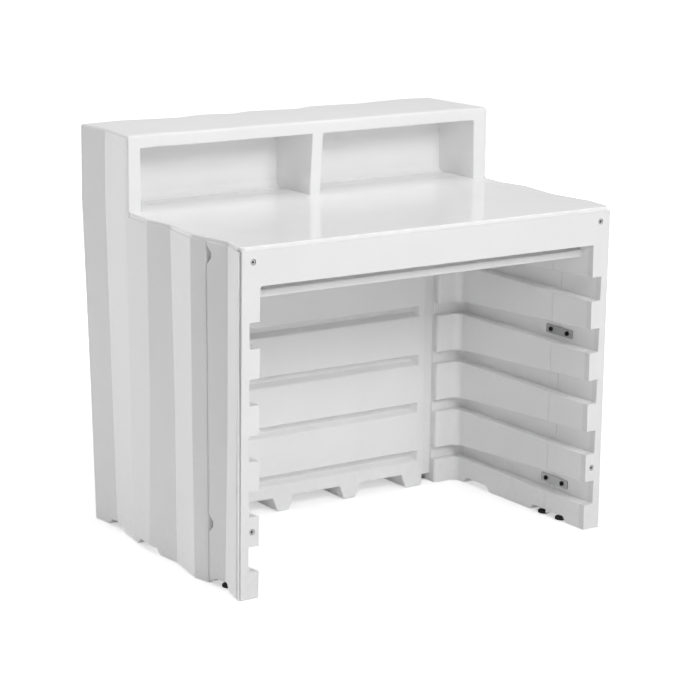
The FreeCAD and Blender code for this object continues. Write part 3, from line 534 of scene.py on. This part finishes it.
def soft_piece(node, bm, finishes):
    """A softened copy that stands in for its node; the second material is for marked faces: the niches'
    gloss on walls, painted shade in screw sockets.
    """
    piece = new_piece("soft_" + node, bm, finishes[0], "counter")
    for finish in finishes[1:]:
        piece.data.materials.append(finish)
    even = piece.modifiers.new("even_shading", "WEIGHTED_NORMAL")
    even.keep_sharp = True
    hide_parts(node)


# Operators
class COUNTER_OT_mouldings(bpy.types.Operator):
    """Softened walls and posts in satin white"""
    bl_idname = "counter.mouldings"
    bl_label = "Mouldings"

    def execute(self, context):
        want = context.scene.counter_mouldings
        finish = satin("satin_moulding", want.wall_colour, want.roughness, want.grain)
        for node in WALLS:
            bm = node_mesh(node)
            if node == "customer_wall":
                tighten_niches(bm, want.niche_cove)
            else:
                open_seam(bm, want.seam_gap)
            soften(bm, want.wall_round, want.round_steps)
            mark_niche_floors(bm)
            soft_piece(node, bm, (finish, gloss_finish(context)))
        return {"FINISHED"}


class COUNTER_OT_front_frame(bpy.types.Operator):
    """Softened front frame, tie bar and dowels in satin white"""
    bl_idname = "counter.front_frame"
    bl_label = "Front frame"

    def execute(self, context):
        want = context.scene.counter_mouldings
        finish = satin("satin_frame", want.frame_colour, want.roughness * 0.9, want.grain)
        bm = node_mesh("front_frame")
        soften(bm, want.frame_round, want.round_steps)
        soft_piece("front_frame", bm, (finish,))
        for node in ("tie_bar", "wall_dowels"):
            dress(node, finish)
        return {"FINISHED"}


class COUNTER_OT_worktop(bpy.types.Operator):
    """Glossy worktop and its plugs"""
    bl_idname = "counter.worktop"
    bl_label = "Worktop"

    def execute(self, context):
        for node in ("worktop", "worktop_plugs"):
            dress(node, gloss_finish(context))
        return {"FINISHED"}


class COUNTER_OT_joining_plates(bpy.types.Operator):
    """Plated joining plates with broken edges"""
    bl_idname = "counter.joining_plates"
    bl_label = "Joining plates"

    def execute(self, context):
        want = context.scene.counter_metal
        finish = metal("plated_sheet", want.plate_colour, 0.45, 0.25)
        for node in PLATES:
            bm = node_mesh(node)
            soften(bm, want.plate_round, 2, shortest=0.0)
            soft_piece(node, bm, (finish,))
        return {"FINISHED"}


class COUNTER_OT_screws(bpy.types.Operator):
    """Socket screws of the plates and the front frame, pins and hidden screws"""
    bl_idname = "counter.screws"
    bl_label = "Screws"

    def execute(self, context):
        want = context.scene.counter_metal
        finish = metal("plated_screw", want.screw_colour, 0.4, 0.05)
        # Near-black material: painted shade in the sockets of the front frame's screws, and the whole
        # colour of the joining plates' screws.
        shade = metal("socket_painted_shade", want.socket_shade_colour, 0.6, 0.0)
        for node, along, head in (("joining_plate_screws", 0, shade), ("front_frame_screws", 1, finish)):
            bm = node_mesh(node)
            soften(bm, want.screw_round, 2, shortest=0.0)
            paint_socket_shade(bm, along, want.socket_depth)
            soft_piece(node, bm, (head, shade))
        for node in ("worktop_screws", "tie_bar_pins"):
            dress(node, finish)
        return {"FINISHED"}


class COUNTER_OT_inserts(bpy.types.Operator):
    """Brass inserts in the mouldings"""
    bl_idname = "counter.inserts"
    bl_label = "Inserts"

    def execute(self, context):
        want = context.scene.counter_metal
        finish = metal("turned_brass", want.brass_colour, 0.3, 0.1)
        for node in INSERTS:
            dress(node, finish)
        return {"FINISHED"}


class COUNTER_OT_feet(bpy.types.Operator):
    """Ribbed rubber pads and plated stems"""
    bl_idname = "counter.feet"
    bl_label = "Feet"

    def execute(self, context):
        want = context.scene.counter_feet
        rubber = satin("foot_rubber", want.rubber_colour, 0.7, 0.0008)
        steel = metal("plated_stem", context.scene.counter_metal.screw_colour, 0.4, 0.05)
        for foot in FEET:
            self.pad(foot, want, rubber)
            dress(foot + "_foot_stem", steel)
        return {"FINISHED"}

    def pad(self, foot, want, rubber):
        low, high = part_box(foot + "_foot_pad")
        centre = (low + high) / 2
        radius = (high.x - low.x) / 2
        height = high.z - low.z
        bm = bmesh.new()
        verts = [bm.verts.new((radius * out, 0.0, height * up)) for out, up in PAD_OUTLINE]
        edges = [bm.edges.new(pair) for pair in zip(verts, verts[1:])]
        bmesh.ops.spin(bm, geom=verts + edges, cent=(0, 0, 0), axis=(0, 0, 1), angle=math.tau,
                       steps=want.ribs * 4, use_merge=True)
        bmesh.ops.remove_doubles(bm, verts=bm.verts, dist=1e-6)
        bmesh.ops.recalc_face_normals(bm, faces=bm.faces)
        for vert in bm.verts:
            reach = math.hypot(vert.co.x, vert.co.y)
            if reach > radius * PAD_RIM:
                wave = 0.5 - 0.5 * math.cos(want.ribs * math.atan2(vert.co.y, vert.co.x))
                scale = (reach - want.rib_depth * wave) / reach
                vert.co.x, vert.co.y = vert.co.x * scale, vert.co.y * scale
        bmesh.ops.translate(bm, verts=bm.verts, vec=(centre.x, centre.y, low.z))
        for face in bm.faces:
            face.smooth = True
        for edge in bm.edges:
            edge.smooth = edge.calc_face_angle(0.0) < PAD_BEND
        piece = new_piece(foot + "_rubber_pad", bm, rubber, foot + "_foot")
        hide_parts(foot + "_foot_pad")


class COUNTER_OT_stage(bpy.types.Operator):
    """Pale floor, soft lamps and the camera"""
    bl_idname = "counter.stage"
    bl_label = "Stage"

    def execute(self, context):
        want = context.scene.counter_stage
        self.floor(want)
        self.world(context, want)
        front = self.lamp(context, "front_lamp", want.front_power,
                          place=(0.1, -4.05, 3.2), aim=(0.1, 0.0, 0.5), size=(3.8, 1.8))
        self.lamp(context, "top_lamp", want.top_power,
                  place=(-0.3, -0.2, 4.6), aim=(0.0, 0.0, 0.9), size=(3.0, 3.0))
        side = self.lamp(context, "side_lamp", want.side_power,
                         place=(-3.4, 8.0, 1.5), aim=(-0.6, 0.0, 0.6), size=(1.6, 1.6))
        self.lamp(context, "fill_lamp", want.fill_power,
                  place=(0.3, -5.0, 1.3), aim=(0.0, 0.0, 0.6), size=(2.4, 2.4))
        for lamp in (front, side):
            lamp.visible_glossy = False
        self.camera(context, want)
        context.scene.view_settings.view_transform = "Standard"
        return {"FINISHED"}

    def floor(self, want):
        bm = bmesh.new()
        bmesh.ops.create_grid(bm, x_segments=1, y_segments=1, size=30.0)
        mesh = bpy.data.meshes.new("studio_floor")
        bm.to_mesh(mesh)
        bm.free()
        floor = bpy.data.objects.new("studio_floor", mesh)
        bpy.context.scene.collection.objects.link(floor)
        material = bpy.data.materials.new("studio_floor")
        material.use_nodes = True
        tree = material.node_tree
        shader = tree.nodes["Principled BSDF"]
        shader.inputs["Base Color"].default_value = rgba(want.floor_colour)
        shader.inputs["Roughness"].default_value = 0.9
        shader.inputs["Emission Color"].default_value = (1.0, 1.0, 1.0, 1.0)
        path = tree.nodes.new("ShaderNodeLightPath")
        seen = maths(tree, "MAXIMUM", path.outputs["Is Camera Ray"], path.outputs["Is Glossy Ray"])
        seen = maths(tree, "MAXIMUM", seen, path.outputs["Is Transmission Ray"])
        away = tree.nodes.new("ShaderNodeVectorMath")
        away.operation = "LENGTH"
        tree.links.new(tree.nodes.new("ShaderNodeTexCoord").outputs["Object"], away.inputs[0])
        glow = spread(tree, away.outputs["Value"], want.glow_near, want.glow_far, want.floor_glow, 1.0)
        tree.links.new(maths(tree, "MULTIPLY", seen, glow), shader.inputs["Emission Strength"])
        mesh.materials.append(material)

    def world(self, context, want):
        world = bpy.data.worlds.new("studio")
        context.scene.world = world
        world.use_nodes = True
        tree = world.node_tree
        light = tree.nodes["Background"]
        light.inputs["Color"].default_value = (1.0, 1.0, 1.0, 1.0)
        path = tree.nodes.new("ShaderNodeLightPath")
        seen = maths(tree, "MAXIMUM", path.outputs["Is Camera Ray"], path.outputs["Is Glossy Ray"])
        seen = maths(tree, "MAXIMUM", seen, path.outputs["Is Transmission Ray"])
        height = tree.nodes.new("ShaderNodeSeparateXYZ")
        tree.links.new(tree.nodes.new("ShaderNodeTexCoord").outputs["Generated"], height.inputs[0])
        mirrored = spread(tree, height.outputs["Z"], want.horizon_low, want.horizon_high,
                          1.0, want.upper_room)
        shown = maths(tree, "MAXIMUM", mirrored, path.outputs["Is Camera Ray"])
        tree.links.new(spread(tree, seen, 0.0, 1.0, want.ambient, shown), light.inputs["Strength"])

    def lamp(self, context, name, power, place, aim, size):
        data = bpy.data.lights.new(name, "AREA")
        data.shape = "ELLIPSE"
        data.size, data.size_y = size
        data.energy = power
        lamp = bpy.data.objects.new(name, data)
        context.scene.collection.objects.link(lamp)
        lamp.location = place
        lamp.rotation_euler = (Vector(aim) - Vector(place)).to_track_quat("-Z", "Y").to_euler()
        return lamp

    def camera(self, context, want):
        heading, drop, roll = want.camera_turn
        ahead = Vector((math.sin(heading) * math.cos(drop), math.cos(heading) * math.cos(drop),
                        -math.sin(drop)))
        right = Vector((math.cos(heading), -math.sin(heading), 0.0))
        down = ahead.cross(right)
        across = right * math.cos(roll) + down * math.sin(roll)
        below = down * math.cos(roll) - right * math.sin(roll)
        data = bpy.data.cameras.new("photo_camera")
        data.sensor_width = 36.0
        data.lens = want.lens
        data.clip_end = 100.0
        camera = bpy.data.objects.new("photo_camera", data)
        context.scene.collection.objects.link(camera)
        turn = Matrix((across, -below, -ahead)).transposed().to_4x4()
        camera.matrix_world = Matrix.Translation(Vector(want.camera_place)) @ turn
        context.scene.camera = camera


OPERATORS = (COUNTER_OT_mouldings, COUNTER_OT_front_frame, COUNTER_OT_worktop, COUNTER_OT_joining_plates,
             COUNTER_OT_screws, COUNTER_OT_inserts, COUNTER_OT_feet, COUNTER_OT_stage)


class COUNTER_PT_panel(bpy.types.Panel):
    """Lists the counter's steps"""
    bl_idname = "COUNTER_PT_panel"
    bl_label = "Bar counter"
    bl_space_type = "VIEW_3D"
    bl_region_type = "UI"
    bl_category = "Bar counter"

    def draw(self, context):
        for operator in OPERATORS:
            self.layout.operator(operator.bl_idname)


def register():
    for name, group in SETTINGS.items():
        bpy.utils.register_class(group)
        setattr(bpy.types.Scene, name, PointerProperty(type=group))
    for operator in OPERATORS:
        bpy.utils.register_class(operator)
    bpy.utils.register_class(COUNTER_PT_panel)


def unregister():
    bpy.utils.unregister_class(COUNTER_PT_panel)
    for operator in reversed(OPERATORS):
        bpy.utils.unregister_class(operator)
    for name, group in SETTINGS.items():
        delattr(bpy.types.Scene, name)
        bpy.utils.unregister_class(group)


def main():
    register()
    bpy.ops.counter.mouldings()
    bpy.ops.counter.front_frame()
    bpy.ops.counter.worktop()
    bpy.ops.counter.joining_plates()
    bpy.ops.counter.screws()
    bpy.ops.counter.inserts()
    bpy.ops.counter.feet()
    bpy.ops.counter.stage()


if __name__ == "__main__":
    main()
